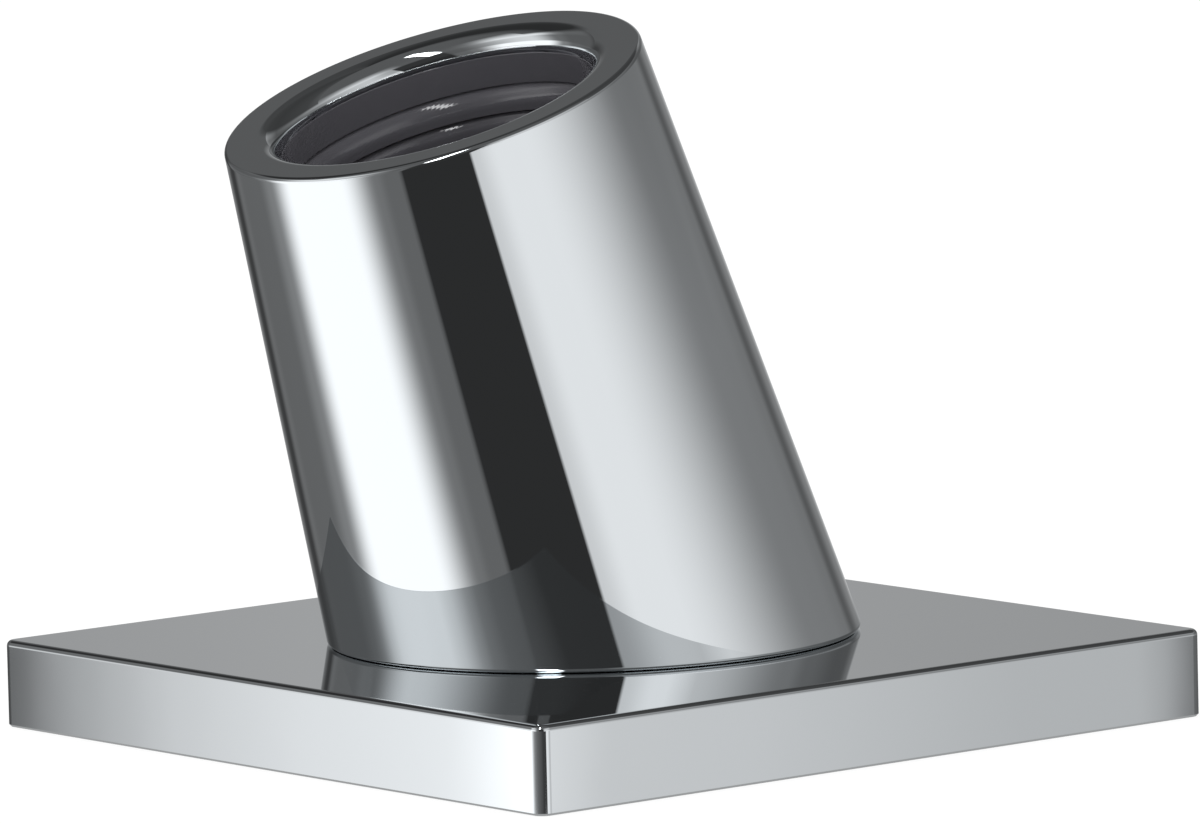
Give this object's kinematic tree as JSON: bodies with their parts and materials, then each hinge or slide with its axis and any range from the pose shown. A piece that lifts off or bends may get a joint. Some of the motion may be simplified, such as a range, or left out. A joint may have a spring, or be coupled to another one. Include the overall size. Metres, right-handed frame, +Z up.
{
  "type": "pull-out shower outlet",
  "caption": "Square deck plate with a leaning tapered socket that a shower hose pulls out of, and its fixing kit below the deck.",
  "frame": {"origin": "middle of the cover plate's underside, in the plane of the deck that it lies on", "axes": "+Z up out of the deck, plate sides along X and Y, the socket leans towards -Y; the plane X = 0 is the mirror plane of the shape"},
  "size_m": [0.07, 0.07, 0.121],
  "materials": {
    "polished_chrome": "mirror polished plating",
    "black_bush_plastic": "smooth turned acetal",
    "black_seal_rubber": "moulded, slightly dull",
    "spring_steel": "oiled spring steel",
    "gasket_rubber": "cellular rubber",
    "fibre_seal": "pressed fibre",
    "turned_brass": "turned, unplated",
    "pale_guide_plastic": "moulded acetal",
    "zinc_steel": "bright zinc plated"
  },
  "bodies": {
    "outlet": {"cover_plate": "polished_chrome", "outlet_body": "polished_chrome", "mouth_bush": "black_bush_plastic", "bush_o_ring": "black_seal_rubber", "bush_snap_ring": "spring_steel", "foot_o_ring": "black_seal_rubber", "locating_pins": "spring_steel", "plate_gasket": "gasket_rubber", "flange_seal": "fibre_seal", "threaded_tube": "turned_brass", "lower_hose_guide": "pale_guide_plastic"},
    "clamp": {"rubber_washer": "gasket_rubber", "clamp_washer": "zinc_steel"},
    "nut": {"lock_nut": "turned_brass", "jack_screws": "zinc_steel"}
  },
  "joints": [
    {"name": "clamp_travel", "type": "slide", "parent": "outlet", "child": "clamp", "axis": [0, 0, 1], "range_m": [-0.018, 0.018]},
    {"name": "nut_turn", "type": "hinge", "parent": "clamp", "child": "nut", "pos_m": [0, 0, -0.0325], "axis": [0, 0, 1], "range_deg": [-4320, 4320]}
  ],
  "couplings": [
    {"joint": "clamp_travel", "follows": "nut_turn", "m_per_rad": 0.00023873}
  ]
}
